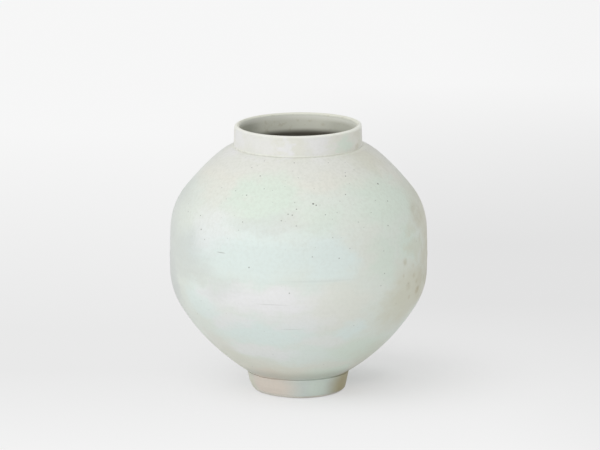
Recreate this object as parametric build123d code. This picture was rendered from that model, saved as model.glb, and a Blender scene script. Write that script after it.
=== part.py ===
from build123d import *
import os

# Korean moon jar in millimetres, standing on its foot.
# The origin is the centre of the foot's tread, on the surface the jar stands on, and +Z is up.
# Two thrown bowls are luted rim to rim at the belly, a collar is luted on the upper bowl and a foot
# ring under the lower one, and a skin of glaze covers all but the tread of the foot.
# Every piece is turned from one half section, drawn with X as the radius and Y as the height.

# Heights of the pieces, one on the other. The collar's is over its glaze, the others are of the clay
FOOT_HEIGHT = 29.0
LOWER_BOWL_HEIGHT = 186.0
UPPER_BOWL_HEIGHT = 169.0
COLLAR_HEIGHT = 33.0

# Radii over the glaze: of the belly, of the collar at the lip and of the foot at its tread
BELLY_RADIUS = 200.0
COLLAR_RADIUS = 98.6
FOOT_RADIUS = 73.0

# The collar and the foot widen towards the bowls, and stand a little proud of them
COLLAR_FLARE = 1.0
COLLAR_STEP = 0.6
FOOT_FLARE = 6.4
FOOT_STEP = 2.0

# Thicknesses: the clay of the bowls, of the upper one's edge at the neck and of the floor, the collar
# over its glaze, the glaze and the slip
WALL = 8.0
NECK_EDGE = 8.0
FLOOR = 11.5
COLLAR_WALL = 8.0
GLAZE = 0.6
SLIP = 1.0

# The foot ring at its tread, how much its bore narrows upwards, and how high the glaze is wiped off it
FOOT_WALL = 14.6
BORE_TAPER = 3.0
GLAZE_LINE = 4.0

# How far the ends of the belly's band, and of the turn that follows it, lie in from the belly and
# above or below the seam
LOWER_BAND_INSET = 0.1
LOWER_BAND_DROP = 22.0
LOWER_TURN_INSET = 17.1
LOWER_TURN_DROP = 80.0
UPPER_BAND_INSET = 1.0
UPPER_BAND_RISE = 44.0
UPPER_TURN_INSET = 23.0
UPPER_TURN_RISE = 102.2

# How long the shoulder keeps the slope of the turn, and the level of the neck
SHOULDER_LEAD = 36.0
SHOULDER_ROLL = 18.5

# Where the wall inside runs out on the floor
FLOOR_RADIUS = 50.0

# The keyed joints: a ridge on the upper piece sits in a groove in the lower one
KEY_WIDTH = 4.0
KEY_DEPTH = 2.5

# The strip of soft clay pressed over the belly seam from inside
STRIP_WIDTH = 22.0
STRIP_PROUD = 1.8

# Rounded corners of the clay
LIP_ROUND = 2.9
NECK_ROUND = 24.0
FLOOR_ROUND = 40.0
FOOT_ROUND = 7.4
BORE_ROUND = 2.5

# Levels and radii that follow from these
ROOT_LEVEL = FOOT_HEIGHT + SLIP
FLOOR_LEVEL = ROOT_LEVEL + FLOOR
SEAM_LEVEL = ROOT_LEVEL + LOWER_BOWL_HEIGHT
UPPER_LEVEL = SEAM_LEVEL + SLIP
NECK_LEVEL = UPPER_LEVEL + UPPER_BOWL_HEIGHT
COLLAR_LEVEL = NECK_LEVEL + SLIP
LIP_LEVEL = COLLAR_LEVEL + COLLAR_HEIGHT
COLLAR_BASE_RADIUS = COLLAR_RADIUS + COLLAR_FLARE
MOUTH_RADIUS = COLLAR_RADIUS - COLLAR_WALL
FOOT_TOP_RADIUS = FOOT_RADIUS + FOOT_FLARE
BORE_BASE_RADIUS = FOOT_RADIUS - FOOT_WALL
BORE_TOP_RADIUS = BORE_BASE_RADIUS - BORE_TAPER

OUT = "parts"


def wall_arcs(level, rise, knuckles, inset):
    """Tangent arcs of a bowl's wall from its rim at the belly through the knuckles, inset towards the
    inside. rise is 1 for the upper bowl and -1 for the lower. Returns them and their last direction."""
    here = Vector(BELLY_RADIUS, level)
    direction = Vector(0, rise)

    def inwards(point, along):
        return point + Vector(-rise * along.Y, rise * along.X) * inset

    arcs = []
    for knuckle in knuckles:
        finished = TangentArc(here, knuckle, tangent=direction)
        onward = finished % 1
        arcs.append(TangentArc(inwards(here, direction), inwards(knuckle, onward), tangent=direction))
        here, direction = knuckle, onward
    return arcs, direction


def lower_curve(inset, root):
    """The lower bowl's wall, from the seam down to its root on the foot or the floor."""
    band = Vector(BELLY_RADIUS - LOWER_BAND_INSET, SEAM_LEVEL - LOWER_BAND_DROP)
    turn = Vector(BELLY_RADIUS - LOWER_TURN_INSET, SEAM_LEVEL - LOWER_TURN_DROP)
    arcs, direction = wall_arcs(SEAM_LEVEL, -1, [band, turn], inset)
    return [*arcs, TangentArc(arcs[-1] @ 1, root, tangent=direction)]


def upper_curve(inset, neck):
    """The upper bowl's wall, from the seam up to the neck, where the shoulder ends level."""
    band = Vector(BELLY_RADIUS - UPPER_BAND_INSET, UPPER_LEVEL + UPPER_BAND_RISE)
    turn = Vector(BELLY_RADIUS - UPPER_TURN_INSET, UPPER_LEVEL + UPPER_TURN_RISE)
    arcs, direction = wall_arcs(UPPER_LEVEL, 1, [band, turn], inset)
    start = arcs[-1] @ 1
    lead = start + direction * SHOULDER_LEAD
    roll = neck + Vector(SHOULDER_ROLL, 0)
    return [*arcs, Bezier(start, lead, roll, neck)]


def corner_at(sketch, radius, height):
    """The sketch's corner nearest to a point of the half section."""
    return sketch.vertices().sort_by_distance((radius, height, 0))[0]


def outline(inset):
    """Half section of the jar as a solid lump: over the glaze at no inset, the clay at GLAZE."""
    coat = GLAZE - inset
    root = Vector(FOOT_TOP_RADIUS - FOOT_STEP - inset + coat, ROOT_LEVEL)
    neck = Vector(COLLAR_BASE_RADIUS - COLLAR_STEP - inset, NECK_LEVEL + coat)
    lower = lower_curve(inset, root)
    upper = upper_curve(inset, neck)
    foot = Polyline(
        (0, 0), (FOOT_RADIUS - inset, 0), (FOOT_TOP_RADIUS - inset, FOOT_HEIGHT + coat / 2), root
    )
    seam = Line(lower[0] @ 0, upper[0] @ 0)
    collar = Polyline(
        neck,
        (COLLAR_BASE_RADIUS - inset, COLLAR_LEVEL + coat),
        (COLLAR_RADIUS - inset, LIP_LEVEL - inset),
        (0, LIP_LEVEL - inset),
        (0, 0),
    )
    lump = make_face([*foot.edges(), *lower, seam, *upper, *collar.edges()])
    tread = corner_at(lump, FOOT_RADIUS - inset, 0)
    return fillet(tread, FOOT_ROUND + coat)


def cavity(coat):
    """Half section of the hollow inside, with a coat of this thickness left on the clay's inner face."""
    depth = GLAZE + WALL + coat
    mouth = MOUTH_RADIUS + GLAZE - coat
    floor = FLOOR_LEVEL + coat
    under_neck = Vector(mouth, NECK_LEVEL - NECK_EDGE - coat)
    lower = lower_curve(depth, Vector(FLOOR_RADIUS, floor))
    upper = upper_curve(depth, under_neck)
    top = LIP_LEVEL + WALL
    bore = Polyline(under_neck, (mouth, top), (0, top), (0, floor), (FLOOR_RADIUS, floor))
    seam = Line(lower[0] @ 0, upper[0] @ 0)
    hollow = make_face([*lower, seam, *upper, *bore.edges()])
    hollow = fillet(corner_at(hollow, FLOOR_RADIUS, floor), FLOOR_ROUND - coat)
    return fillet(corner_at(hollow, under_neck.X, under_neck.Y), NECK_ROUND + coat)


def recess(coat):
    """Half section of the hollow inside the foot, with a coat left on the clay."""
    ceiling = ROOT_LEVEL - coat
    return make_face(
        Polyline(
            (0, 0),
            (BORE_BASE_RADIUS - coat, 0),
            (BORE_TOP_RADIUS - coat, ceiling),
            (0, ceiling),
            close=True,
        )
    )


def seam_strip(coat):
    """Half section of the strip pressed over the belly seam from inside, with a coat on it."""
    inner_face = BELLY_RADIUS - GLAZE - WALL
    radius = (STRIP_WIDTH**2 / 4 + STRIP_PROUD**2) / (2 * STRIP_PROUD)
    centre = (inner_face - STRIP_PROUD + radius, SEAM_LEVEL + SLIP / 2)
    return (Pos(*centre) * Circle(radius + coat)) & cavity(coat)


def wall_section(inset, coat):
    """Half section of the jar's wall, foot and collar: clay, or clay and glaze."""
    wall = outline(inset) - (cavity(coat) - seam_strip(coat)) - recess(coat)
    lip = LIP_LEVEL - inset
    lip_corners = [
        corner_at(wall, COLLAR_RADIUS - inset, lip),
        corner_at(wall, MOUTH_RADIUS + GLAZE - coat, lip),
    ]
    wall = fillet(lip_corners, LIP_ROUND + coat)
    return fillet(corner_at(wall, BORE_BASE_RADIUS - coat, 0), BORE_ROUND)


def joint_band(outer, inner, height):
    """The layer of slip in a keyed joint, drawn past both faces of the wall."""
    middle = (outer + inner) / 2
    past = WALL / 2
    key = [
        (outer + past, height),
        (middle + KEY_WIDTH / 2, height),
        (middle, height - KEY_DEPTH),
        (middle - KEY_WIDTH / 2, height),
        (inner - past, height),
    ]
    lifted = [(radius, level + SLIP) for radius, level in reversed(key)]
    return make_face(Polyline(*key, *lifted, close=True))


def joint_bands():
    """The three luted joints by the name of their slip, from the foot up.

    At the neck the clay is rounded off inside, which sets the inner face of that joint back."""
    belly = BELLY_RADIUS - GLAZE
    across_neck = Line((0, NECK_LEVEL), (BELLY_RADIUS, NECK_LEVEL)) & cavity(0)
    neck = across_neck.bounding_box().max.X
    return {
        "foot_slip": joint_band(FOOT_TOP_RADIUS - GLAZE, BORE_TOP_RADIUS, FOOT_HEIGHT),
        "belly_slip": joint_band(belly, belly - WALL, SEAM_LEVEL) + seam_strip(0),
        "collar_slip": joint_band(COLLAR_BASE_RADIUS - GLAZE, neck, NECK_LEVEL),
    }


def clay_sections():
    """Half sections of the four clay pieces and of the slip between them, by name."""
    clay = wall_section(GLAZE, 0)
    sections = {}
    for name, band in joint_bands().items():
        sections[name] = clay & band
        clay -= band
    pieces = clay.faces().sort_by(Axis.Y)
    sections.update(zip(["foot_ring", "lower_bowl", "upper_bowl", "mouth_collar"], pieces))
    return sections


def glaze_sections():
    """Half sections of the glaze outside, inside and under the jar, by name.

    The outer and the inner glaze meet on the crest of the lip."""
    bare_foot = Pos(0, GLAZE_LINE / 2) * Rectangle(4 * FOOT_RADIUS, GLAZE_LINE)
    glaze = wall_section(0, GLAZE) - wall_section(GLAZE, 0) - bare_foot
    crest_radius = COLLAR_RADIUS - COLLAR_WALL / 2
    inner_side = cavity(-GLAZE) + Pos(0, LIP_LEVEL) * Rectangle(2 * crest_radius, COLLAR_HEIGHT)
    under, outside = (glaze - inner_side).faces().sort_by(SortBy.AREA)
    return {
        "outer_glaze": outside,
        "inner_glaze": glaze & inner_side,
        "base_glaze": under,
    }


def turned(section):
    """The solid that a half section makes when it is turned about the jar's axis."""
    return revolve(Plane.XZ * section, Axis.Z)


def main():
    os.makedirs(OUT, exist_ok=True)
    for name, section in {**clay_sections(), **glaze_sections()}.items():
        solid = turned(section)
        solid.label = name
        export_step(solid, os.path.join(OUT, f"{name}.step"))


main()
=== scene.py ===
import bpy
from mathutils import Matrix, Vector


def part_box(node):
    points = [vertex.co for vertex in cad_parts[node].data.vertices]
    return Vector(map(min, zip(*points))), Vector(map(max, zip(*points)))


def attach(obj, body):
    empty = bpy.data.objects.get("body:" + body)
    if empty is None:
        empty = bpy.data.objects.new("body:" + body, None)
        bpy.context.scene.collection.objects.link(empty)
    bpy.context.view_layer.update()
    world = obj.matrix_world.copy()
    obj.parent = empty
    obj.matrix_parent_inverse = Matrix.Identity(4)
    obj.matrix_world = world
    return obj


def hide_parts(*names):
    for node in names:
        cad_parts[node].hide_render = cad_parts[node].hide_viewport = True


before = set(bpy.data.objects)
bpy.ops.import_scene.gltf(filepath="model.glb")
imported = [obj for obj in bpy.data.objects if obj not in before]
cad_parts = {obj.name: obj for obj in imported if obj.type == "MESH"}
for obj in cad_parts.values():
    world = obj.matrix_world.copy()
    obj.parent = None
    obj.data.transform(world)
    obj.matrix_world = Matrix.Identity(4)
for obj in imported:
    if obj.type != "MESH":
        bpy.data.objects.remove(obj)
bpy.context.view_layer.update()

import math

import bmesh
import bpy
import mathutils
import numpy as np
from bpy.props import FloatProperty, FloatVectorProperty, IntProperty, PointerProperty

bl_info = {
    "name": "Moon Jar",
    "version": (1, 0, 0),
    "blender": (4, 5, 0),
    "location": "View3D > Sidebar > Moon Jar",
    "description": "Hand-thrown porcelain moon jar under a satin white glaze, on a pale stage",
    "category": "Add Mesh",
}

MM = 0.001

# Where the jar's pieces meet, and its widest and topmost circles, read from the frame
FOOT_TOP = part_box("foot_ring")[1].z
FOOT_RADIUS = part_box("foot_ring")[1].x
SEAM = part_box("lower_bowl")[1].z
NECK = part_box("collar_slip")[1].z
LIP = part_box("outer_glaze")[1].z
BELLY_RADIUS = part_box("outer_glaze")[1].x
COLLAR_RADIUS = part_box("mouth_collar")[1].x

# Points of a mesh that are closer than this are one point.
TOUCH = 1e-6

# A smooth stretch of a section ends where it turns by more than this angle, and where one chord is this
# many times as long as the next.
SECTION_CORNER = math.radians(25)
CHORD_RATIO = 4

# Edges of a finished piece that bend by more than this stay crisp.
CRISP_EDGE = math.radians(40)

# The side at which the foot is worn: the left, and a little to the front
WORN_SIDE = (-0.94, -0.34, 0)

# The share of a patch's half size over which it fades out
PATCH_FADE = 0.7

# How the glaze bends light, how matt the clay and the paper are, and how dark the clay's grain is
GLAZE_IOR = 1.5
CLAY_ROUGHNESS = 0.8
PAPER_ROUGHNESS = 0.9
PAPER_SHEEN = 0.1
CLAY_GRAIN = 0.85

# The floor's half size, and how far it lies under the tread, so that the two don't share a plane
FLOOR_REACH = 40.0
FLOOR_DROP = 0.2 * MM

# Depths on the floor between which its tones change, in metres behind the jar's axis
TONES_FRONT = -0.5
TONES_BACK = 3.5

# The sensor's width in millimetres, and how far the camera sees in metres
SENSOR_WIDTH = 36.0
SIGHT = 200.0


def linear(hex_colour):
    """An sRGB hex colour as linear red, green and blue."""
    parts = [int(hex_colour[i : i + 2], 16) / 255 for i in (1, 3, 5)]
    return tuple(c / 12.92 if c <= 0.04045 else ((c + 0.055) / 1.055) ** 2.4 for c in parts)


def per_metre(size_mm):
    """The scale at which a texture's features are about this many millimetres across."""
    return 1 / (size_mm * MM)


def add(tree, kind, inputs=None, **settings):
    """Adds a node with its settings, and fills its inputs with values or other nodes' outputs.

    An input goes by its name or its place. A Map Range has its value at 0, the ends of that value's
    range at 1 and 2, and what they become at 3 and 4. A colour Mix has its two colours at 6 and 7.
    """
    node = tree.nodes.new(kind)
    for name, value in settings.items():
        setattr(node, name, value)
    for key, value in (inputs or {}).items():
        if isinstance(value, bpy.types.NodeSocket):
            tree.links.new(value, node.inputs[key])
        else:
            node.inputs[key].default_value = value
    return node


# Sizes and colours that a user would change


def length(name, description, default_mm):
    """A length property with a default in millimetres."""
    return FloatProperty(
        name=name, description=description, default=default_mm * MM, unit="LENGTH", precision=5
    )


def angle(name, description, default_degrees):
    """An angle property with a default in degrees."""
    return FloatProperty(
        name=name, description=description, default=math.radians(default_degrees), subtype="ANGLE"
    )


def amount(name, description, default):
    """A property that is a plain amount, from zero up."""
    return FloatProperty(name=name, description=description, default=default, min=0)


def colour(name, description, hex_colour):
    """A colour property with an sRGB hex default."""
    default = linear(hex_colour)
    return FloatVectorProperty(
        name=name, description=description, default=default, subtype="COLOR", size=3, min=0, max=1
    )


class JarMesh(bpy.types.PropertyGroup):
    """How fine the meshes of the pieces are."""

    segments: IntProperty(name="Segments", description="Faces round the jar", default=180, min=24)
    step: length("Step", "Spacing of the rings up the glazed walls", 2.6)
    clay_step: length("Clay step", "Spacing of the rings up the clay walls, which the glaze hides", 7.0)


class JarForm(bpy.types.PropertyGroup):
    """How far the thrown form strays from a true turned one."""

    lip_rise_right: length("Lip rise, right", "How much the lip rises at its right side", 0.9)
    lip_rise_back: length("Lip rise, back", "How much the lip rises at its back", 1.6)
    lip_shift: length("Lip shift", "How far the lip stands off the jar's axis, to the right", -0.9)
    lean_start: length("Lean start", "Level from which the shoulder leans with the lip", 290.0)
    oval: length("Oval", "How far the belly is out of round, across the view's diagonals", 0.8)
    wander: length("Wander", "How far the wall wanders in and out in slow waves", 0.3)
    wander_size: length("Wander size", "Length of those waves", 90.0)
    ridge_depth: length("Ridge depth", "Depth of the finger ridges that throwing leaves", 0.05)
    ridge_pitch: length("Ridge pitch", "Rise of the finger ridges in one turn", 9.0)
    seam_swell: length("Seam swell", "How far the wall swells at the belly seam", 0.35)
    seam_width: length("Seam width", "Half the height of that swell", 9.0)
    foot_shift: length("Foot shift", "How far the foot sits off the jar's axis, to the right", -0.6)
    groove_lift: length("Groove lift", "How far the joint over the foot is drawn up", 1.2)
    foot_wear: length("Foot wear", "How far the foot's lower edge is worn away at the left", 2.6)


class JarFinish(bpy.types.PropertyGroup):
    """Colours of the glaze and of the bare clay."""

    glaze: colour("Glaze", "The glaze where it is even", "#D8DED6")
    mint: colour("Mint", "The glaze where it is thick and green", "#D2DED2")
    aqua: colour("Aqua", "The glaze where it is thick and blue", "#D8E4E1")
    pearl: colour("Pearl", "The glaze where it is thick and milky", "#E3E3E4")
    cream: colour("Cream", "The glaze where it is thin", "#DCDCD3")
    peach: colour("Peach", "The glaze where the clay glows through it", "#D8CDC2")
    # Tan is partly smoke and partly painted shade, at the right side away from the light.
    tan: colour("Tan", "The glaze where it is smoked", "#CCCBB8")
    smoke: colour("Smoke", "Brown smoke marks in the glaze", "#ACA380")
    # The next colour is painted shade, greyish, down the left side and across the belly.
    haze: colour("Haze", "The glaze where it is greyed", "#C0C4C3")
    shoulder: colour("Shoulder", "The glaze under the collar", "#DADBD4")
    foot: colour("Foot", "The glaze on the foot", "#C9D1CC")
    # Shade is painted shade over the foot and at the sides inside the mouth, and the darker tone of the
    # glaze's fine grain.
    shade: colour("Shade", "The glaze where it pools in the joints", "#B4B6A9")
    speck: colour("Iron speck", "Iron specks in the glaze", "#57544B")
    # Crest is partly thin glaze and partly a painted highlight on the lip's crest, and painted light over
    # the line under the collar.
    crest: colour("Crest", "The glaze on the crest of the lip", "#ECEDE4")
    inside: colour("Inside", "The glaze inside the mouth", "#DBDCCF")
    # The next colour is painted shade on the glaze below the mouth, where little light reaches.
    deep: colour("Deep inside", "The glaze below the mouth, which the smoke has darkened", "#6A665C")
    bare_clay: colour("Bare clay", "Bare fired porcelain on the tread", "#E4E1D8")
    slip: colour("Slip", "Fired slip in the joints", "#DBD6CB")
    glaze_roughness: FloatProperty(
        name="Glaze roughness",
        description="Satin of the glaze",
        default=0.42,
        min=0,
        max=1,
        subtype="FACTOR",
    )


class JarStage(bpy.types.PropertyGroup):
    """The floor, the light and the camera."""

    floor: colour("Floor", "The pale floor", "#F0F0F0")
    # The tones at which the floor glows stand in for its light and shade: painted light, with painted shade
    # at the right.
    floor_front: colour("Floor, front", "How the floor shows in front of the jar", "#F3F3F3")
    floor_left: colour("Floor, left", "How the floor shows at the jar's left", "#E9E9E9")
    floor_right: colour("Floor, right", "How the floor shows at the right, away from the light", "#E2E2E2")
    backdrop: colour("Backdrop", "How the floor shows far behind", "#F7F7F7")
    sky: amount("Sky", "Level of the light from all round", 0.68)
    sky_tilt: amount("Sky tilt", "How much brighter the sky is at the front left", 0.15)
    key_strength: amount("Key strength", "Strength of the soft light at the left", 1.1)
    key_spread: angle("Key spread", "Width of the soft light as the jar sees it", 85)
    key_height: angle("Key height", "Angle of the soft light above the floor", 36)
    key_turn: angle("Key turn", "How far the soft light stands left of the front", 37)
    camera_distance: length("Camera distance", "From the jar's axis along the floor", 6754.0)
    camera_height: length("Camera height", "Above the floor", 1648.5)
    camera_side: length("Camera side", "To the right of the jar's axis", 2.2)
    camera_pitch: angle("Camera pitch", "How far the camera looks down", 11.613)
    lens: FloatProperty(
        name="Lens",
        description="Focal length in millimetres on a sensor 36 mm wide",
        default=266.1,
        min=1,
    )


# The half sections of the pieces, read from the frame


def half_section(node_name):
    """The outline of a turned CAD piece in the half plane at +X, in order, as radius and level."""
    shape = bmesh.new()
    shape.from_mesh(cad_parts[node_name].data)
    bmesh.ops.remove_doubles(shape, verts=shape.verts, dist=TOUCH)
    for normal, one_side in (((1, 0, 0), True), ((0, 1, 0), False)):
        everything = shape.verts[:] + shape.edges[:] + shape.faces[:]
        cut = bmesh.ops.bisect_plane(
            shape, geom=everything, dist=TOUCH, plane_co=(0, 0, 0), plane_no=normal, clear_inner=one_side
        )["geom_cut"]
    edges = [part for part in cut if isinstance(part, bmesh.types.BMEdge)]
    links = {}
    for edge in edges:
        if min(vertex.co.x for vertex in edge.verts) > -TOUCH:
            for vertex in edge.verts:
                links.setdefault(vertex, []).append(edge.other_vert(vertex))
    ends = [v for v in links if len(links[v]) == 1]
    start = min(ends or links, key=lambda v: v.co.z)
    path = [start]
    before = None
    here = start
    while True:
        onward = [v for v in links[here] if v is not before]
        if not onward or (onward[0] is start and before is not None):
            break
        before, here = here, onward[0]
        path.append(here)
    if not ends:
        path.append(start)
    points = np.array([(max(v.co.x, 0.0), v.co.z) for v in path])
    shape.free()
    if len(path) < 3:
        raise RuntimeError(f"{node_name} has no section at +X")
    return points


def smoothed(points, step):
    """Points at most a step apart on a smooth curve through a section, whose corners stay sharp."""
    chords = np.diff(points, axis=0)
    lengths = np.linalg.norm(chords, axis=1)
    ways = chords / lengths[:, None]
    turns = np.arccos(np.clip((ways[1:] * ways[:-1]).sum(1), -1, 1))
    ratios = lengths[1:] / lengths[:-1]
    uneven = np.maximum(ratios, 1 / ratios) > CHORD_RATIO
    breaks = [0, *(np.flatnonzero((turns > SECTION_CORNER) | uneven) + 1), len(points) - 1]
    made = [points[0]]
    for first, last in zip(breaks[:-1], breaks[1:]):
        stretch = points[first : last + 1]
        along = np.concatenate([[0], np.cumsum(lengths[first:last])])
        slopes = np.gradient(stretch, along, axis=0, edge_order=min(2, len(stretch) - 1))
        for i, span in enumerate(lengths[first:last]):
            count = max(1, math.ceil(span / step))
            t = (np.arange(1, count + 1) / count)[:, None]
            made.extend(
                (2 * t**3 - 3 * t**2 + 1) * stretch[i]
                + (t**3 - 2 * t**2 + t) * span * slopes[i]
                + (3 * t**2 - 2 * t**3) * stretch[i + 1]
                + (t**3 - t**2) * span * slopes[i + 1]
            )
    return np.array(made)


def doubled_area(section):
    """Twice the area that a section encloses, which is above zero where it runs anticlockwise."""
    radii, levels = section.T
    return np.dot(radii, np.roll(levels, -1)) - np.dot(np.roll(radii, -1), levels)


# The thrown pieces


def title(name):
    """A property's name as the words that a tree's input shows."""
    return name.replace("_", " ").capitalize()


def rolled_sheet(tree, given, place):
    """A sheet with a row for each point of the section, rolled round the axis and closed."""
    section = given["Section"]
    rows = add(tree, "GeometryNodeAttributeDomainSize", {"Geometry": section}).outputs["Point Count"]
    columns = add(tree, "FunctionNodeIntegerMath", {0: given["Segments"], 1: 1}, operation="ADD").outputs[0]
    sheet = add(tree, "GeometryNodeMeshGrid", {"Vertices X": rows, "Vertices Y": columns}).outputs["Mesh"]
    index = add(tree, "GeometryNodeInputIndex").outputs[0]
    cell = {0: index, 1: columns}
    row = add(tree, "FunctionNodeIntegerMath", cell, operation="DIVIDE_FLOOR").outputs[0]
    column = add(tree, "FunctionNodeIntegerMath", cell, operation="MODULO").outputs[0]
    share = add(tree, "ShaderNodeMath", {0: column, 1: given["Segments"]}, operation="DIVIDE").outputs[0]
    swing = add(tree, "ShaderNodeMath", {0: share, 1: math.tau}, operation="MULTIPLY").outputs[0]
    sample = {"Geometry": section, "Value": place, "Index": row}
    point = add(tree, "GeometryNodeSampleIndex", sample, data_type="FLOAT_VECTOR").outputs[0]
    turn = {"Vector": point, "Angle": swing}
    turned = add(tree, "ShaderNodeVectorRotate", turn, rotation_type="Z_AXIS").outputs[0]
    rolled = add(tree, "GeometryNodeSetPosition", {"Geometry": sheet, "Position": turned}).outputs[0]
    seam = {"Geometry": rolled, "Distance": 2 * TOUCH}
    return add(tree, "GeometryNodeMergeByDistance", seam).outputs[0]


def foot_wear(tree, given, level, outwards, radius):
    """How far the foot's outer lower edge is worn away, mostly at the left."""
    worn_height = 0.5 * FOOT_TOP
    edge_start = 0.8 * FOOT_RADIUS
    edge_full = 0.95 * FOOT_RADIUS
    facing = {0: outwards, 1: WORN_SIDE}
    facing = add(tree, "ShaderNodeVectorMath", facing, operation="DOT_PRODUCT").outputs["Value"]
    side = {0: facing, 1: 0.3, 2: 0.9, 3: 0.0, 4: given["Foot wear"]}
    worn = add(tree, "ShaderNodeMapRange", side, interpolation_type="SMOOTHSTEP").outputs[0]
    low = add(tree, "ShaderNodeMapRange", {0: level, 1: 0.0, 2: worn_height, 3: worn, 4: 0.0}).outputs[0]
    edge = {0: radius, 1: edge_start, 2: edge_full, 3: 0.0, 4: low}
    return add(tree, "ShaderNodeMapRange", edge).outputs[0]


def wall_push(tree, given, axes, outwards):
    """How far slow waves, finger ridges and the swell at the seam push the wall straight out."""
    drum = {0: outwards, "Scale": BELLY_RADIUS}
    drum = add(tree, "ShaderNodeVectorMath", drum, operation="SCALE").outputs[0]
    level = add(tree, "ShaderNodeCombineXYZ", {2: axes[2]}).outputs[0]
    on_drum = add(tree, "ShaderNodeVectorMath", {0: drum, 1: level}, operation="ADD").outputs[0]
    fineness = add(tree, "ShaderNodeMath", {0: 1.0, 1: given["Wander size"]}, operation="DIVIDE").outputs[0]
    noise = {"Vector": on_drum, "Scale": fineness, "Detail": 1.0}
    waves = add(tree, "ShaderNodeTexNoise", noise).outputs["Fac"]
    waves = add(tree, "ShaderNodeMapRange", {0: waves, 1: 0.25, 2: 0.75, 3: -1.0, 4: 1.0}).outputs[0]
    push = add(tree, "ShaderNodeMath", {0: waves, 1: given["Wander"]}, operation="MULTIPLY").outputs[0]

    around = add(tree, "ShaderNodeMath", {0: axes[1], 1: axes[0]}, operation="ARCTAN2").outputs[0]
    turns = {0: axes[2], 1: given["Ridge pitch"]}
    turns = add(tree, "ShaderNodeMath", turns, operation="DIVIDE").outputs[0]
    phase = {0: turns, 1: math.tau, 2: around}
    phase = add(tree, "ShaderNodeMath", phase, operation="MULTIPLY_ADD").outputs[0]
    ridges = add(tree, "ShaderNodeMath", {0: phase}, operation="SINE").outputs[0]
    ridged = {0: ridges, 1: given["Ridge depth"], 2: push}
    push = add(tree, "ShaderNodeMath", ridged, operation="MULTIPLY_ADD").outputs[0]

    off_seam = add(tree, "ShaderNodeMath", {0: axes[2], 1: SEAM}, operation="SUBTRACT").outputs[0]
    off_seam = add(tree, "ShaderNodeMath", {0: off_seam}, operation="ABSOLUTE").outputs[0]
    swell = {0: off_seam, 1: 0.0, 2: given["Seam width"], 3: 1.0, 4: 0.0}
    swell = add(tree, "ShaderNodeMapRange", swell, interpolation_type="SMOOTHSTEP").outputs[0]
    swollen = {0: swell, 1: given["Seam swell"], 2: push}
    return add(tree, "ShaderNodeMath", swollen, operation="MULTIPLY_ADD").outputs[0]


def thrown_offset(tree, given, place):
    """How far each point of a turned piece moves to give it the faults of a thrown one."""
    axes = add(tree, "ShaderNodeSeparateXYZ", {0: place}).outputs
    flat = add(tree, "ShaderNodeVectorMath", {0: place, 1: (1, 1, 0)}, operation="MULTIPLY").outputs[0]
    outwards = add(tree, "ShaderNodeVectorMath", {0: flat}, operation="NORMALIZE").outputs[0]
    radius = add(tree, "ShaderNodeVectorMath", {0: flat}, operation="LENGTH").outputs["Value"]

    # The shoulder, collar and lip lean: they rise at the right and at the back.
    lift = {0: given["Lip rise right"], 1: given["Lip rise back"]}
    lift = add(tree, "ShaderNodeCombineXYZ", lift).outputs[0]
    across = {0: place, 1: lift}
    across = add(tree, "ShaderNodeVectorMath", across, operation="DOT_PRODUCT").outputs["Value"]
    across = {0: across, 1: 1 / COLLAR_RADIUS}
    across = add(tree, "ShaderNodeMath", across, operation="MULTIPLY").outputs[0]
    lean = {0: axes[2], 1: given["Lean start"], 2: LIP}
    lean = add(tree, "ShaderNodeMapRange", lean, interpolation_type="SMOOTHSTEP").outputs[0]
    rise = add(tree, "ShaderNodeMath", {0: across, 1: lean}, operation="MULTIPLY").outputs[0]

    # The joint over the foot is drawn up a little, and the outer lower edge is worn away.
    drawn = {0: axes[2], 1: 0.0, 2: FOOT_TOP, 3: 0.0, 4: given["Groove lift"]}
    drawn = add(tree, "ShaderNodeMapRange", drawn).outputs[0]
    drawn = {0: axes[2], 1: FOOT_TOP, 2: 3 * FOOT_TOP, 3: drawn, 4: 0.0}
    drawn = add(tree, "ShaderNodeMapRange", drawn).outputs[0]
    rise = add(tree, "ShaderNodeMath", {0: rise, 1: drawn}, operation="ADD").outputs[0]
    worn = foot_wear(tree, given, axes[2], outwards, radius)
    rise = add(tree, "ShaderNodeMath", {0: rise, 1: worn}, operation="ADD").outputs[0]

    # The belly is a little oval across the diagonals, and the foot and the lip sit a little off the axis.
    squeeze = {0: given["Oval"], 1: 1 / BELLY_RADIUS}
    squeeze = add(tree, "ShaderNodeMath", squeeze, operation="MULTIPLY").outputs[0]
    astray = {0: axes[2], 1: FOOT_TOP, 2: 2 * FOOT_TOP, 3: given["Foot shift"], 4: 0.0}
    astray = add(tree, "ShaderNodeMapRange", astray, interpolation_type="SMOOTHSTEP").outputs[0]
    astray = {0: lean, 1: given["Lip shift"], 2: astray}
    astray = add(tree, "ShaderNodeMath", astray, operation="MULTIPLY_ADD").outputs[0]
    stray_x = {0: axes[1], 1: squeeze, 2: astray}
    stray_x = add(tree, "ShaderNodeMath", stray_x, operation="MULTIPLY_ADD").outputs[0]
    stray_y = add(tree, "ShaderNodeMath", {0: axes[0], 1: squeeze}, operation="MULTIPLY").outputs[0]
    strayed = add(tree, "ShaderNodeCombineXYZ", {0: stray_x, 1: stray_y, 2: rise}).outputs[0]

    push = wall_push(tree, given, axes, outwards)
    push = add(tree, "ShaderNodeMath", {0: push, 1: worn}, operation="SUBTRACT").outputs[0]
    pushed = add(tree, "ShaderNodeVectorMath", {0: outwards, "Scale": push}, operation="SCALE").outputs[0]
    return add(tree, "ShaderNodeVectorMath", {0: pushed, 1: strayed}, operation="ADD").outputs[0]


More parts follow.
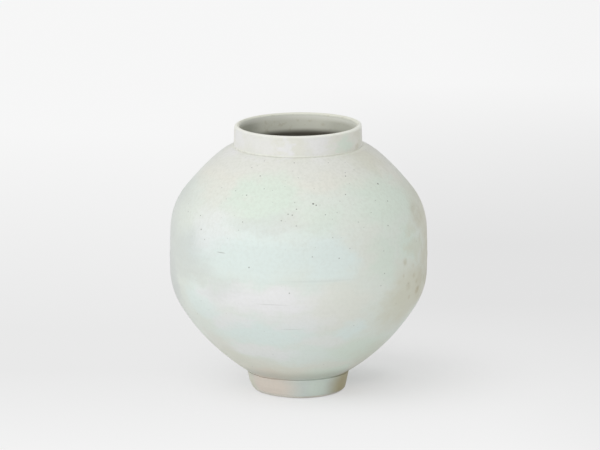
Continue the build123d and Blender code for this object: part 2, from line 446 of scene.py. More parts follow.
def thrown_tree():
    """Geometry Nodes that turn a half section about the jar's axis and give it a thrown form's faults."""
    tree = bpy.data.node_groups.new("thrown_piece", "GeometryNodeTree")
    face = tree.interface
    face.new_socket("Section", in_out="INPUT", socket_type="NodeSocketGeometry")
    face.new_socket("Segments", in_out="INPUT", socket_type="NodeSocketInt")
    for name in JarForm.__annotations__:
        face.new_socket(title(name), in_out="INPUT", socket_type="NodeSocketFloat")
    face.new_socket("Finish", in_out="INPUT", socket_type="NodeSocketMaterial")
    face.new_socket("Piece", in_out="OUTPUT", socket_type="NodeSocketGeometry")
    given = add(tree, "NodeGroupInput").outputs
    place = add(tree, "GeometryNodeInputPosition").outputs[0]
    moved = {"Geometry": rolled_sheet(tree, given, place), "Offset": thrown_offset(tree, given, place)}
    thrown = add(tree, "GeometryNodeSetPosition", moved).outputs[0]

    # Walls are smooth and corners stay crisp.
    smooth = add(tree, "GeometryNodeSetShadeSmooth", {"Geometry": thrown, "Shade Smooth": True}).outputs[0]
    bend = add(tree, "GeometryNodeInputMeshEdgeAngle").outputs["Unsigned Angle"]
    sharp = add(tree, "FunctionNodeCompare", {0: bend, 1: CRISP_EDGE}, operation="GREATER_THAN").outputs[0]
    corners = {"Geometry": smooth, "Selection": sharp, "Shade Smooth": False}
    crisp = add(tree, "GeometryNodeSetShadeSmooth", corners, domain="EDGE").outputs[0]
    real = add(tree, "GeometryNodeRealizeInstances", {"Geometry": crisp}).outputs[0]
    finished = {"Geometry": real, "Material": given["Finish"]}
    finished = add(tree, "GeometryNodeSetMaterial", finished).outputs[0]
    add(tree, "NodeGroupOutput", {"Piece": finished})
    return tree


def throw(context, node_name, material, step):
    """Builds the thrown form of one turned CAD piece, which then stands for it."""
    scene = context.scene
    tree = bpy.data.node_groups.get("thrown_piece") or thrown_tree()
    section = smoothed(half_section(node_name), step)
    if doubled_area(section) > 0:
        section = section[::-1]
    mesh = bpy.data.meshes.new(f"{node_name}_section")
    mesh.from_pydata([(r, 0, z) for r, z in section], [(i, i + 1) for i in range(len(section) - 1)], [])
    piece = bpy.data.objects.new(f"{node_name}_thrown", mesh)
    scene.collection.objects.link(piece)
    turning = piece.modifiers.new("Thrown", "NODES")
    turning.node_group = tree
    values = {title(name): getattr(scene.jar_form, name) for name in JarForm.__annotations__}
    values["Segments"] = scene.jar_mesh.segments
    values["Finish"] = material
    for socket in tree.interface.items_tree:
        if socket.name in values:
            turning[socket.identifier] = values[socket.name]
    solid = bpy.data.meshes.new_from_object(piece.evaluated_get(context.evaluated_depsgraph_get()))
    if not solid.polygons:
        raise RuntimeError(f"{node_name} came out empty")
    piece.modifiers.remove(turning)
    piece.data = solid
    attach(piece, "root")
    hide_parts(node_name)


# What the finishes share


def surface(name, tone, roughness):
    """A new material of one tone and roughness."""
    material = bpy.data.materials.new(name)
    material.use_nodes = True
    material.diffuse_color = (*tone, 1)
    shader = material.node_tree.nodes["Principled BSDF"]
    shader.inputs["Base Color"].default_value = (*tone, 1)
    shader.inputs["Roughness"].default_value = roughness
    return material


def set_stops(ramp, stops):
    """Gives a colour ramp its stops, each a place from 0 to 1 and a tone."""
    while len(ramp.elements) < len(stops):
        ramp.elements.new(0.5)
    for element, (where, tone) in zip(ramp.elements, stops):
        element.position = where
        element.color = (*tone, 1)


def lay_coats(tree, ground, coats):
    """Lays coats over a ground tint in turn, each as strong as its cover, and gives the last tint."""
    tint = ground
    for cover, tone in coats:
        coat = {"Factor": cover, 6: tint, 7: (*tone, 1)}
        tint = add(tree, "ShaderNodeMix", coat, data_type="RGBA").outputs[2]
    return tint


def wall_point(section, turn, level):
    """The outermost point of a section at a turn from the front in degrees and a level in millimetres."""
    radii = []
    for (r0, z0), (r1, z1) in zip(section[:-1], section[1:]):
        if z0 != z1 and min(z0, z1) <= level * MM <= max(z0, z1):
            radii.append(r0 + (r1 - r0) * (level * MM - z0) / (z1 - z0))
    radius = max(radii)
    return radius * math.sin(math.radians(turn)), -radius * math.cos(math.radians(turn)), level * MM


def patchwork(tree, section, place, patches):
    """How strongly a set of patches covers a place on a wall."""
    cover = None
    for turn, level, width, height, strength in patches:
        where = {
            "Vector": place,
            "Location": wall_point(section, turn, level),
            "Rotation": (0, 0, math.radians(turn)),
            "Scale": (width * MM / 2, width * MM / 2, height * MM / 2),
        }
        local = add(tree, "ShaderNodeMapping", where, vector_type="TEXTURE").outputs[0]
        ball = add(tree, "ShaderNodeTexGradient", {0: local}, gradient_type="SPHERICAL").outputs[1]
        fade = {0: ball, 1: 0.0, 2: PATCH_FADE, 3: 0.0, 4: strength}
        soft = add(tree, "ShaderNodeMapRange", fade, interpolation_type="SMOOTHSTEP").outputs[0]
        if cover is None:
            cover = soft
        else:
            cover = add(tree, "ShaderNodeMath", {0: cover, 1: soft}, operation="MAXIMUM").outputs[0]
    return cover


# The glaze outside

# Soft patches by the name of their colour, each with its turn to the right of the front in degrees, its
# level, width and height in millimetres, and its strength
PATCHES = {
    "aqua": (
        (-22, 250, 360, 130, 0.8), (12, 245, 150, 140, 0.8), (0, 272, 150, 80, 0.5),
        (-17, 126, 230, 80, 0.9), (-50, 168, 100, 90, 0.7), (27, 132, 80, 60, 0.8), (5, 84, 200, 60, 0.5),
    ),
    "pearl": (
        (-44, 280, 130, 90, 0.45), (-38, 146, 90, 50, 0.6), (-27, 148, 70, 36, 0.6), (8, 160, 110, 60, 0.4),
        (-16, 180, 260, 75, 0.9), (3, 150, 130, 50, 0.6), (-22, 90, 160, 36, 0.6), (-42, 188, 90, 40, 0.6),
        (12, 114, 90, 50, 0.4), (-65, 402, 80, 60, 0.7), (-40, 402, 80, 60, 0.5), (-17, 402, 40, 60, 0.8),
        # Painted light: the patch below, on the collar at the front right, lightens it where the light
        # falls off.
        (20, 402, 90, 60, 0.7),
    ),
    "mint": (
        (-18, 335, 160, 100, 0.9), (10, 305, 120, 60, 0.5), (50, 325, 200, 130, 0.8),
        (43, 243, 90, 110, 0.7), (60, 256, 90, 90, 0.9), (42, 88, 170, 90, 0.8), (30, 44, 110, 50, 0.8),
        (50, 402, 50, 60, 0.8), (24, 16, 50, 60, 0.5),
    ),
    "cream": (
        (-3, 300, 90, 40, 0.3), (19, 174, 150, 110, 0.55), (-49, 332, 110, 80, 0.6),
        # Painted light: the patch at turn 78 below, at the right of the shoulder by the collar, lightens it
        # where light grazes it.
        (32, 264, 100, 120, 0.3), (78, 374, 140, 70, 0.7),
    ),
    "peach": ((-56, 92, 130, 70, 0.25), (-38, 18, 130, 80, 0.9), (-28, 42, 90, 30, 0.6)),
    # Tan is partly smoke and partly painted shade, at the right side away from the light and low at the
    # left.
    "tan": (
        (84, 300, 190, 140, 0.4), (64, 250, 60, 110, 0.5), (60, 372, 110, 50, 0.4), (58, 72, 120, 80, 0.35),
        (92, 235, 210, 300, 0.7), (60, 168, 180, 150, 0.8), (100, 150, 200, 130, 0.5),
        (125, 300, 240, 200, 0.4), (72, 402, 36, 60, 0.4), (-52, 60, 160, 70, 0.35),
        (-14, 50, 140, 44, 0.3), (-80, 16, 70, 70, 0.8),
    ),
    # Painted shade, greyish, down the left side and across the belly.
    "haze": (
        (-60, 240, 160, 100, 0.4), (-62, 214, 230, 60, 0.35), (-86, 190, 170, 170, 0.65),
        (-76, 186, 120, 110, 0.55), (-12, 300, 190, 44, 0.25), (-36, 196, 110, 50, 0.25),
        (-96, 228, 320, 320, 0.5),
    ),
    "smoke": ((75, 14, 124, 90, 1.0),),
}

# Smoke stains at the right, by the same numbers
SMOKE = (
    (92, 235, 180, 260, 0.45), (72, 290, 70, 60, 0.5), (66, 392, 20, 16, 0.5),
    (78, 186, 130, 120, 0.5), (55, 227, 15, 17, 0.45), (58, 186, 18, 20, 0.55), (68, 174, 28, 22, 0.9),
    (62, 216, 12, 10, 0.4), (63, 200, 14, 12, 0.5), (54, 205, 8, 8, 0.4), (66, 190, 16, 14, 0.6),
    (60, 168, 12, 12, 0.4), (71, 205, 14, 20, 0.5), (72, 236, 10, 30, 0.4), (70, 255, 10, 22, 0.4),
    (110, 180, 160, 120, 0.4), (118, 320, 150, 130, 0.35),
)

# Iron specks and scratches, by the same numbers
MARKS = (
    (7.5, 328, 4.4, 4.0, 1.0), (9, 326, 3.2, 3.0, 1.0), (52, 345, 4.6, 4.6, 1.0),
    (-49, 280, 3.6, 3.6, 0.8), (-22, 233, 3.4, 3.4, 0.8), (18, 248, 3.2, 3.2, 0.6),
    (-4, 196, 3.0, 3.0, 0.5), (-49, 169, 3.2, 3.2, 0.6), (-56, 143, 3.2, 3.2, 0.5),
    (-33, 274, 3.0, 3.0, 0.5), (-37, 340, 3.2, 3.2, 0.4), (-29, 336, 3.4, 3.4, 0.6),
    (-5, 314, 3.4, 3.4, 0.5), (-3, 313, 3.2, 3.2, 0.6), (-1, 321, 3.2, 3.2, 0.6),
    (-2, 330, 3.2, 3.2, 0.4), (-8, 305, 3.2, 3.2, 0.5), (-1, 298, 3.2, 3.2, 0.4),
    (13, 313, 3.2, 3.2, 0.6), (19, 315, 3.4, 3.4, 0.4), (22, 330, 3.4, 3.4, 0.4),
    (16, 382, 3.2, 3.2, 0.5), (-31, 375, 3.4, 3.4, 0.4), (37, 378, 3.6, 3.6, 0.5),
    (-4, 371, 3.2, 3.2, 0.4), (9, 348, 3.2, 3.2, 0.4), (-8, 351, 3.2, 3.2, 0.3),
    (4, 365, 3.0, 3.0, 0.3), (51, 321, 3.6, 3.6, 0.7), (45, 342, 3.2, 3.2, 0.5),
    (43, 325, 3.2, 3.2, 0.5), (31, 291, 2.8, 2.8, 0.5), (41, 216, 3.0, 3.0, 0.5),
    (39, 198, 3.0, 3.0, 0.5), (6, 252, 2.8, 2.8, 0.5), (-36, 251, 22, 2.2, 0.4),
    (-12, 177, 70, 1.6, 0.2), (-4, 136, 50, 1.6, 0.15), (9, 214, 150, 5, 0.06),
)


def stirred_place(tree, place, level, drawn_out):
    """The place, stirred mostly sideways and least on the foot, so that patches get ragged edges."""
    middle = (0.5, 0.5, 0.5)
    reach = (110 * MM, 110 * MM, 60 * MM)
    calm_end = FOOT_TOP + 40 * MM
    noise = {"Vector": drawn_out, "Scale": per_metre(60), "Detail": 5.0, "Roughness": 0.6}
    stir = add(tree, "ShaderNodeTexNoise", noise).outputs["Color"]
    stir = add(tree, "ShaderNodeVectorMath", {0: stir, 1: middle}, operation="SUBTRACT").outputs[0]
    stir = add(tree, "ShaderNodeVectorMath", {0: stir, 1: reach}, operation="MULTIPLY").outputs[0]
    calm = add(tree, "ShaderNodeMapRange", {0: level, 1: FOOT_TOP, 2: calm_end, 3: 0.1, 4: 1.0}).outputs[0]
    stir = add(tree, "ShaderNodeVectorMath", {0: stir, "Scale": calm}, operation="SCALE").outputs[0]
    return add(tree, "ShaderNodeVectorMath", {0: place, 1: stir}, operation="ADD").outputs[0]


def glaze_bands(tree, finish, stirred):
    """The tint of the glaze in bands round the jar, whose levels are in millimetres."""
    bands = (
        (0, finish.foot),
        (30, finish.foot),
        (48, finish.cream),
        (84, finish.glaze),
        (330, finish.glaze),
        (352, finish.cream),
        (370, finish.shoulder),
        (386, finish.shoulder),
        (392, finish.cream),
    )
    level = add(tree, "ShaderNodeSeparateXYZ", {0: stirred}).outputs[2]
    height = add(tree, "ShaderNodeMapRange", {0: level, 1: 0.0, 2: LIP}).outputs[0]
    ramp = add(tree, "ShaderNodeValToRGB", {0: height})
    set_stops(ramp.color_ramp, [(band_level * MM / LIP, tone) for band_level, tone in bands])
    return ramp.outputs[0]


def cloud_coats(tree, finish, depth, drawn_out):
    """Clouds of thick glaze, which lie at the back."""
    clouds_start = -40 * MM
    clouds_full = 100 * MM
    back = {0: depth, 1: clouds_start, 2: clouds_full, 3: 0.0, 4: 0.8}
    back = add(tree, "ShaderNodeMapRange", back).outputs[0]
    noise = {"Vector": drawn_out, "Scale": per_metre(130), "Detail": 3.0}
    clouds = add(tree, "ShaderNodeTexNoise", noise).outputs["Color"]
    tones = (finish.aqua, finish.mint, finish.pearl)
    coats = []
    for cloud, tone in zip(add(tree, "ShaderNodeSeparateXYZ", {0: clouds}).outputs, tones):
        thick = add(tree, "ShaderNodeMapRange", {0: cloud, 1: 0.45, 2: 0.62, 3: 0.0, 4: back}).outputs[0]
        coats.append((thick, tone))
    return coats


def smoke_coat(tree, finish, section, place):
    """Smoke stains, which lie in fine blotches."""
    noise = {"Vector": place, "Scale": per_metre(22), "Detail": 6.0, "Roughness": 0.65}
    blotches = add(tree, "ShaderNodeTexNoise", noise).outputs["Fac"]
    blotches = add(tree, "ShaderNodeMapRange", {0: blotches, 1: 0.35, 2: 0.7, 3: 0.2, 4: 1.0}).outputs[0]
    stains = patchwork(tree, section, place, SMOKE)
    cover = add(tree, "ShaderNodeMath", {0: stains, 1: blotches}, operation="MULTIPLY").outputs[0]
    return cover, finish.smoke


def joint_coats(tree, finish, level):
    """Painted shade over the foot, painted light over the line under the collar, and the lip's crest paler,
    partly as thin glaze and partly as a painted highlight.
    """
    foot_shade_start = FOOT_TOP + 1 * MM
    foot_shade_full = FOOT_TOP + 7 * MM
    foot_shade_fades = FOOT_TOP + 9 * MM
    foot_shade_end = FOOT_TOP + 25 * MM
    line_core = 0.3 * MM
    line_edge = 2.4 * MM
    crest_start = LIP - 4 * MM
    crest_full = LIP - 1 * MM
    # Painted shade over the foot.
    foot_shade = {0: level, 1: foot_shade_start, 2: foot_shade_full, 3: 0.0, 4: 0.5}
    foot_shade = add(tree, "ShaderNodeMapRange", foot_shade).outputs[0]
    foot_shade = {0: level, 1: foot_shade_fades, 2: foot_shade_end, 3: foot_shade, 4: 0.0}
    foot_shade = add(tree, "ShaderNodeMapRange", foot_shade, interpolation_type="SMOOTHSTEP").outputs[0]
    # Painted light over the line under the collar.
    off_neck = add(tree, "ShaderNodeMath", {0: level, 1: NECK}, operation="SUBTRACT").outputs[0]
    off_neck = add(tree, "ShaderNodeMath", {0: off_neck}, operation="ABSOLUTE").outputs[0]
    painted_light_line = {0: off_neck, 1: line_core, 2: line_edge, 3: 0.75, 4: 0.0}
    painted_light_line = add(tree, "ShaderNodeMapRange", painted_light_line).outputs[0]
    # The lip's crest is paler: partly thin glaze, partly a painted highlight.
    crest = add(tree, "ShaderNodeMapRange", {0: level, 1: crest_start, 2: crest_full, 4: 1.0}).outputs[0]
    light = add(tree, "ShaderNodeMath", {0: painted_light_line, 1: crest}, operation="MAXIMUM").outputs[0]
    return (foot_shade, finish.shade), (light, finish.crest)


def speck_coats(tree, finish, section, place, level):
    """A fine grain and fine specks, strongest on the shoulder, and the large marks where they are."""
    shoulder_start = 220 * MM
    shoulder_full = 340 * MM
    collar_start = NECK - 2 * MM
    collar_full = NECK + 4 * MM
    upper = {0: level, 1: shoulder_start, 2: shoulder_full, 3: 0.4, 4: 1.0}
    upper = add(tree, "ShaderNodeMapRange", upper).outputs[0]
    upper = {0: level, 1: collar_start, 2: collar_full, 3: upper, 4: 0.4}
    upper = add(tree, "ShaderNodeMapRange", upper).outputs[0]

    noise = {"Vector": place, "Scale": per_metre(5), "Detail": 3.0, "Roughness": 0.6}
    grain = add(tree, "ShaderNodeTexNoise", noise).outputs["Fac"]
    grain = add(tree, "ShaderNodeMapRange", {0: grain, 1: 0.42, 2: 0.75, 3: 0.0, 4: 0.24}).outputs[0]
    grain = add(tree, "ShaderNodeMath", {0: grain, 1: upper}, operation="MULTIPLY").outputs[0]

    cells = add(tree, "ShaderNodeTexVoronoi", {"Vector": place, "Scale": per_metre(6.5)}).outputs
    chance = add(tree, "ShaderNodeSeparateXYZ", {0: cells["Color"]}).outputs
    reach = add(tree, "ShaderNodeMapRange", {0: chance[0], 1: 0.75, 2: 1.0, 3: 0.0, 4: 0.2}).outputs[0]
    close = add(tree, "ShaderNodeMath", {0: reach, 1: cells["Distance"]}, operation="SUBTRACT").outputs[0]
    often = add(tree, "ShaderNodeMath", {0: upper, 1: chance[1]}, operation="MULTIPLY").outputs[0]
    dots = add(tree, "ShaderNodeMapRange", {0: close, 1: 0.0, 2: 0.1, 3: 0.0, 4: often}).outputs[0]
    marks = patchwork(tree, section, place, MARKS)
    dots = add(tree, "ShaderNodeMath", {0: dots, 1: marks}, operation="MAXIMUM").outputs[0]
    return (grain, finish.shade), (dots, finish.speck)


def satin_skin(tree, finish, place):
    """Satin that is silkier in places, over a fine orange-peel skin."""
    shader = tree.nodes["Principled BSDF"].inputs
    silkier = finish.glaze_roughness - 0.06
    duller = finish.glaze_roughness + 0.06
    silk = {"Vector": place, "Scale": per_metre(60), "Detail": 2.0}
    silk = add(tree, "ShaderNodeTexNoise", silk).outputs["Fac"]
    rough = add(tree, "ShaderNodeMapRange", {0: silk, 1: 0.3, 2: 0.7, 3: silkier, 4: duller}).outputs[0]
    tree.links.new(rough, shader["Roughness"])
    peel = {"Vector": place, "Scale": per_metre(2.5), "Detail": 2.0}
    peel = add(tree, "ShaderNodeTexNoise", peel).outputs["Fac"]
    skin = {"Strength": 0.25, "Distance": 0.06 * MM, "Height": peel}
    tree.links.new(add(tree, "ShaderNodeBump", skin).outputs[0], shader["Normal"])
    shader["IOR"].default_value = GLAZE_IOR


def glaze_finish(finish):
    """Satin feldspar glaze on porcelain, wood fired: milky white with a breath of green and blue where it
    is thick and cream where it is thin, broad soft highlights, smoke at one side and iron specks, with
    painted shade at the sides and over the foot and painted light on the collar and the lip."""
    material = surface("satin_feldspar_glaze", finish.glaze, finish.glaze_roughness)
    tree = material.node_tree
    section = half_section("outer_glaze")
    place = add(tree, "ShaderNodeTexCoord").outputs["Object"]
    axes = add(tree, "ShaderNodeSeparateXYZ", {0: place}).outputs
    drawn_out = {0: place, 1: (1, 1, 1.8)}
    drawn_out = add(tree, "ShaderNodeVectorMath", drawn_out, operation="MULTIPLY").outputs[0]
    stirred = stirred_place(tree, place, axes[2], drawn_out)
    coats = cloud_coats(tree, finish, axes[1], drawn_out)
    for name, patches in PATCHES.items():
        coats.append((patchwork(tree, section, stirred, patches), getattr(finish, name)))
    coats.append(smoke_coat(tree, finish, section, place))
    coats.extend(joint_coats(tree, finish, axes[2]))
    coats.extend(speck_coats(tree, finish, section, place, axes[2]))
    tint = lay_coats(tree, glaze_bands(tree, finish, stirred), coats)
    tree.links.new(tint, tree.nodes["Principled BSDF"].inputs["Base Color"])
    satin_skin(tree, finish, place)
    return material


# The glaze inside, the clay, the slip and the paper

# Painted shade inside the mouth at its left and right, by the same numbers as the patches outside
INSIDE_SHADE = ((-114, 400, 100, 56, 0.9), (130, 402, 100, 44, 0.45))


def inner_glaze_finish(finish):
    """The same glaze inside and underneath: greyer, with faint brown smudges, painted shade at the left
    and right of the mouth and below it, and paler on the crest of the lip, partly thin glaze and partly
    a painted highlight."""
    pale_start = LIP - 1 * MM
    pale_full = LIP - 4 * MM
    pale_end = LIP - 11 * MM
    dark_start = LIP - 21 * MM
    dark_full = LIP - 32 * MM
    dark_fades = LIP - 50 * MM
    dark_end = LIP - 110 * MM
    dark_slant = (-0.03, 0, 1)
    material = surface("satin_feldspar_glaze_inside", finish.inside, finish.glaze_roughness)
    tree = material.node_tree
    shader = tree.nodes["Principled BSDF"].inputs
    place = add(tree, "ShaderNodeTexCoord").outputs["Object"]
    level = add(tree, "ShaderNodeSeparateXYZ", {0: place}).outputs[2]

    smudge = {"Vector": place, "Scale": per_metre(9), "Detail": 3.0}
    smudge = add(tree, "ShaderNodeTexNoise", smudge).outputs["Fac"]
    smudge = add(tree, "ShaderNodeMapRange", {0: smudge, 1: 0.56, 2: 0.75, 3: 0.0, 4: 0.35}).outputs[0]
    # Painted shade at the left and right inside the mouth.
    side_shade = patchwork(tree, half_section("inner_glaze"), place, INSIDE_SHADE)
    # Paler near the lip's crest: partly thin glaze, partly a painted highlight.
    pale = {0: level, 1: pale_start, 2: pale_full, 3: 0.1, 4: 0.9}
    pale = add(tree, "ShaderNodeMapRange", pale).outputs[0]
    pale = {0: level, 1: pale_end, 2: pale_full, 3: 0.0, 4: pale}
    pale = add(tree, "ShaderNodeMapRange", pale).outputs[0]

    # Painted shade below the mouth, slanting a little and fading further down.
    slanted = {0: place, 1: dark_slant}
    slanted = add(tree, "ShaderNodeVectorMath", slanted, operation="DOT_PRODUCT").outputs["Value"]
    below = {0: slanted, 1: dark_start, 2: dark_full}
    below = add(tree, "ShaderNodeMapRange", below, interpolation_type="SMOOTHSTEP").outputs[0]
    lower = {0: level, 1: dark_fades, 2: dark_end, 3: 1.0, 4: 0.1}
    lower = add(tree, "ShaderNodeMapRange", lower, interpolation_type="SMOOTHSTEP").outputs[0]
    dark = add(tree, "ShaderNodeMath", {0: below, 1: lower}, operation="MULTIPLY").outputs[0]

    coats = ((smudge, finish.smoke), (side_shade, finish.shade), (pale, finish.crest), (dark, finish.deep))
    tree.links.new(lay_coats(tree, (*finish.inside, 1), coats), shader["Base Color"])
    shader["IOR"].default_value = GLAZE_IOR
    return material


def bare_clay_finish(finish):
    """Bare fired porcelain: matt and pale, with a fine sandy grain."""
    material = surface("bare_fired_porcelain", finish.bare_clay, CLAY_ROUGHNESS)
    tree = material.node_tree
    place = add(tree, "ShaderNodeTexCoord").outputs["Object"]
    grain = {"Vector": place, "Scale": per_metre(2), "Detail": 3.0}
    grain = add(tree, "ShaderNodeTexNoise", grain).outputs["Fac"]
    darker = [c * CLAY_GRAIN for c in finish.bare_clay]
    tint = lay_coats(tree, (*finish.bare_clay, 1), [(grain, darker)])
    tree.links.new(tint, tree.nodes["Principled BSDF"].inputs["Base Color"])
    return material


def slip_finish(finish):
    """Fired porcelain slip: the same clay, finer and even."""
    return surface("fired_porcelain_slip", finish.slip, CLAY_ROUGHNESS)


def paper_tone(tree, stage, axes):
    """The tone at which the floor glows, painted light and shade, by depth and from left to right, with
    places in metres.
    """
    left_stops = (
        (-0.4, stage.floor_front),
        (0.12, stage.floor_left),
        (0.4, stage.floor_left),
        (2.2, stage.backdrop),
    )
    right_stops = (
        (-0.4, stage.floor_front),
        (0.6, stage.floor_right),
        (1.1, stage.floor_right),
        (2.8, stage.backdrop),
    )
    left_end = -0.25
    right_start = 0.3
    edge_full = 0.6
    near_end = 0.5
    far_start = 2.5
    span = TONES_BACK - TONES_FRONT
    depth = add(tree, "ShaderNodeMapRange", {0: axes[1], 1: TONES_FRONT, 2: TONES_BACK}).outputs[0]
    tones = []
    for stops in (left_stops, right_stops):
        ramp = add(tree, "ShaderNodeValToRGB", {0: depth})
        set_stops(ramp.color_ramp, [((where - TONES_FRONT) / span, tone) for where, tone in stops])
        tones.append(ramp.outputs[0])
    side = {0: axes[0], 1: left_end, 2: right_start}
    side = add(tree, "ShaderNodeMapRange", side, interpolation_type="SMOOTHSTEP").outputs[0]
    sides = {"Factor": side, 6: tones[0], 7: tones[1]}
    tone = add(tree, "ShaderNodeMix", sides, data_type="RGBA").outputs[2]

    # Painted shade: the right edge is darker, mostly where it is near.
    near = {0: axes[1], 1: near_end, 2: far_start, 3: 0.45, 4: 0.1}
    near = add(tree, "ShaderNodeMapRange", near).outputs[0]
    edge = {0: axes[0], 1: right_start, 2: edge_full, 3: 0.0, 4: near}
    edge = add(tree, "ShaderNodeMapRange", edge).outputs[0]
    return lay_coats(tree, tone, [(edge, stage.floor_right)])


def paper_finish(stage):
    """Matt studio paper that glows at pale tones for the camera, as painted light with painted shade at the
    right, and keeps the jar's shadow.
    """
    shadow_middle = (0.09, 0.12, 0)
    shadow_core = 0.08
    shadow_edge = 0.38
    nook_middle = (0.085, 0.09, 0)
    nook_core = 0.02
    nook_edge = 0.09
    material = surface("studio_paper", stage.floor, PAPER_ROUGHNESS)
    tree = material.node_tree
    shader = tree.nodes["Principled BSDF"]
    shader.inputs["Specular IOR Level"].default_value = PAPER_SHEEN
    place = add(tree, "ShaderNodeTexCoord").outputs["Object"]
    tone = paper_tone(tree, stage, add(tree, "ShaderNodeSeparateXYZ", {0: place}).outputs)
    glow = add(tree, "ShaderNodeEmission", {"Color": tone, "Strength": 1.0}).outputs[0]

    # The glow is weaker in the jar's shadow, and weakest in the nook behind the foot.
    away = {0: place, 1: shadow_middle}
    away = add(tree, "ShaderNodeVectorMath", away, operation="DISTANCE").outputs["Value"]
    even = {0: away, 1: shadow_core, 2: shadow_edge, 3: 0.5, 4: 0.96}
    even = add(tree, "ShaderNodeMapRange", even, interpolation_type="SMOOTHSTEP").outputs[0]
    nook = {0: place, 1: nook_middle}
    nook = add(tree, "ShaderNodeVectorMath", nook, operation="DISTANCE").outputs["Value"]
    nook = {0: nook, 1: nook_core, 2: nook_edge, 3: 0.62, 4: 1.0}
    nook = add(tree, "ShaderNodeMapRange", nook, interpolation_type="SMOOTHSTEP").outputs[0]
    even = add(tree, "ShaderNodeMath", {0: even, 1: nook}, operation="MULTIPLY").outputs[0]

    # Only what is seen straight, mirrored or through glass glows, so the glow lights nothing.
    rays = add(tree, "ShaderNodeLightPath").outputs
    shown = rays["Is Camera Ray"]
    for ray in ("Is Glossy Ray", "Is Transmission Ray"):
        shown = add(tree, "ShaderNodeMath", {0: shown, 1: rays[ray]}, operation="MAXIMUM").outputs[0]
    even = add(tree, "ShaderNodeMath", {0: even, 1: shown}, operation="MULTIPLY").outputs[0]
    mixed = add(tree, "ShaderNodeMixShader", {0: even, 1: shader.outputs[0], 2: glow}).outputs[0]
    tree.links.new(mixed, tree.nodes["Material Output"].inputs["Surface"])
    return material


# The stage


def lay_floor(scene, stage):
    """Lays the pale floor under the jar."""
    sides = ((-1, -1), (1, -1), (1, 1), (-1, 1))
    corners = [(x * FLOOR_REACH, y * FLOOR_REACH, -FLOOR_DROP) for x, y in sides]
    mesh = bpy.data.meshes.new("floor")
    mesh.from_pydata(corners, [], [(0, 1, 2, 3)])
    mesh.materials.append(paper_finish(stage))
    floor = bpy.data.objects.new("floor", mesh)
    scene.collection.objects.link(floor)


def hang_sky(scene, stage):
    """Gives the scene white light from all round, a little brighter at the front left."""
    front_left = mathutils.Vector((-0.4, -0.7, 0.6)).normalized()
    world = bpy.data.worlds.new("soft_sky")
    world.use_nodes = True
    tree = world.node_tree
    background = tree.nodes["Background"].inputs
    facing = {0: add(tree, "ShaderNodeTexCoord").outputs["Generated"], 1: front_left}
    facing = add(tree, "ShaderNodeVectorMath", facing, operation="DOT_PRODUCT").outputs["Value"]
    brightness = {0: facing, 1: stage.sky_tilt, 2: stage.sky}
    brightness = add(tree, "ShaderNodeMath", brightness, operation="MULTIPLY_ADD").outputs[0]
    background["Color"].default_value = (1, 1, 1, 1)
    tree.links.new(brightness, background["Strength"])
    scene.world = world


def hang_key(scene, stage):
    """Hangs the wide soft light at the front left."""
    lamp = bpy.data.lights.new("key", "SUN")
    lamp.energy = stage.key_strength
    lamp.angle = stage.key_spread
    key = bpy.data.objects.new("key", lamp)
    key.rotation_euler = (math.pi / 2 - stage.key_height, 0, -stage.key_turn)
    scene.collection.objects.link(key)


def set_camera(scene, stage):
    """Sets the camera in front of the jar, looking a little down."""
    camera_data = bpy.data.cameras.new("camera")
    camera_data.lens = stage.lens
    camera_data.sensor_width = SENSOR_WIDTH
    camera_data.clip_end = SIGHT
    camera = bpy.data.objects.new("camera", camera_data)
    camera.location = (stage.camera_side, -stage.camera_distance, stage.camera_height)
    camera.rotation_euler = (math.pi / 2 - stage.camera_pitch, 0, 0)
    scene.collection.objects.link(camera)
    scene.camera = camera


# Operators, one for each group of like pieces and one for the stage


class MoonJarClay(bpy.types.Operator):
    """Throws the two bowls, the collar and the foot ring of bare porcelain clay"""

    bl_idname = "moon_jar.clay"
    bl_label = "Bowls, Collar and Foot"

    def execute(self, context):
        clay = bare_clay_finish(context.scene.jar_finish)
        step = context.scene.jar_mesh.clay_step
        for node_name in ("lower_bowl", "upper_bowl", "mouth_collar", "foot_ring"):
            throw(context, node_name, clay, step)
        return {"FINISHED"}


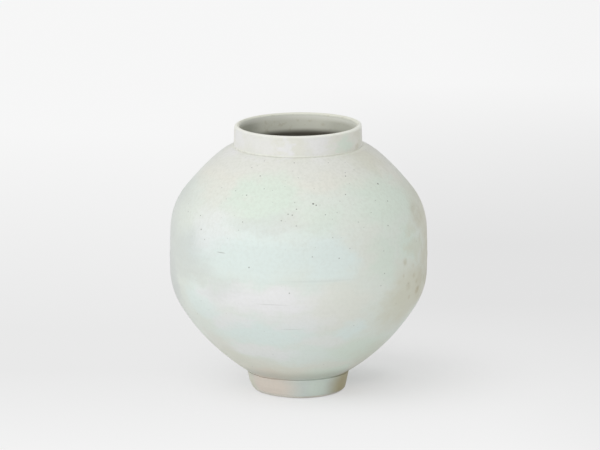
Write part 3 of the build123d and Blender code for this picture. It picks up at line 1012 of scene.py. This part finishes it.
class MoonJarSlip(bpy.types.Operator):
    """Lays the slip in the three luted joints"""

    bl_idname = "moon_jar.slip"
    bl_label = "Slip in the Joints"

    def execute(self, context):
        slip = slip_finish(context.scene.jar_finish)
        step = context.scene.jar_mesh.clay_step
        for node_name in ("foot_slip", "belly_slip", "collar_slip"):
            throw(context, node_name, slip, step)
        return {"FINISHED"}


class MoonJarGlaze(bpy.types.Operator):
    """Coats the jar outside, inside and under its floor with glaze"""

    bl_idname = "moon_jar.glaze"
    bl_label = "Glaze"

    def execute(self, context):
        finish = context.scene.jar_finish
        step = context.scene.jar_mesh.step
        throw(context, "outer_glaze", glaze_finish(finish), step)
        inside = inner_glaze_finish(finish)
        for node_name in ("inner_glaze", "base_glaze"):
            throw(context, node_name, inside, step)
        return {"FINISHED"}


class MoonJarStage(bpy.types.Operator):
    """Lays the pale floor and sets the soft light and the camera"""

    bl_idname = "moon_jar.stage"
    bl_label = "Stage"

    def execute(self, context):
        scene = context.scene
        scene.view_settings.view_transform = "Standard"
        for step in (lay_floor, hang_sky, hang_key, set_camera):
            step(scene, scene.jar_stage)
        return {"FINISHED"}


class MoonJarPanel(bpy.types.Panel):
    """Lists the steps that build the jar, and its sizes and colours"""

    bl_idname = "VIEW3D_PT_moon_jar"
    bl_label = "Moon Jar"
    bl_space_type = "VIEW_3D"
    bl_region_type = "UI"
    bl_category = "Moon Jar"

    def draw(self, context):
        for step in STEPS:
            self.layout.operator(step.bl_idname)
        for group_name, group in GROUPS.items():
            column = self.layout.column(align=True)
            for name in group.__annotations__:
                column.prop(getattr(context.scene, group_name), name)


GROUPS = {"jar_mesh": JarMesh, "jar_form": JarForm, "jar_finish": JarFinish, "jar_stage": JarStage}
STEPS = (MoonJarClay, MoonJarSlip, MoonJarGlaze, MoonJarStage)
CLASSES = (*GROUPS.values(), *STEPS, MoonJarPanel)


def register():
    for cls in CLASSES:
        bpy.utils.register_class(cls)
    for name, group in GROUPS.items():
        setattr(bpy.types.Scene, name, PointerProperty(type=group))


def unregister():
    for name in GROUPS:
        delattr(bpy.types.Scene, name)
    for cls in reversed(CLASSES):
        bpy.utils.unregister_class(cls)


def main():
    register()
    bpy.ops.moon_jar.clay()
    bpy.ops.moon_jar.slip()
    bpy.ops.moon_jar.glaze()
    bpy.ops.moon_jar.stage()


if __name__ == "__main__":
    main()
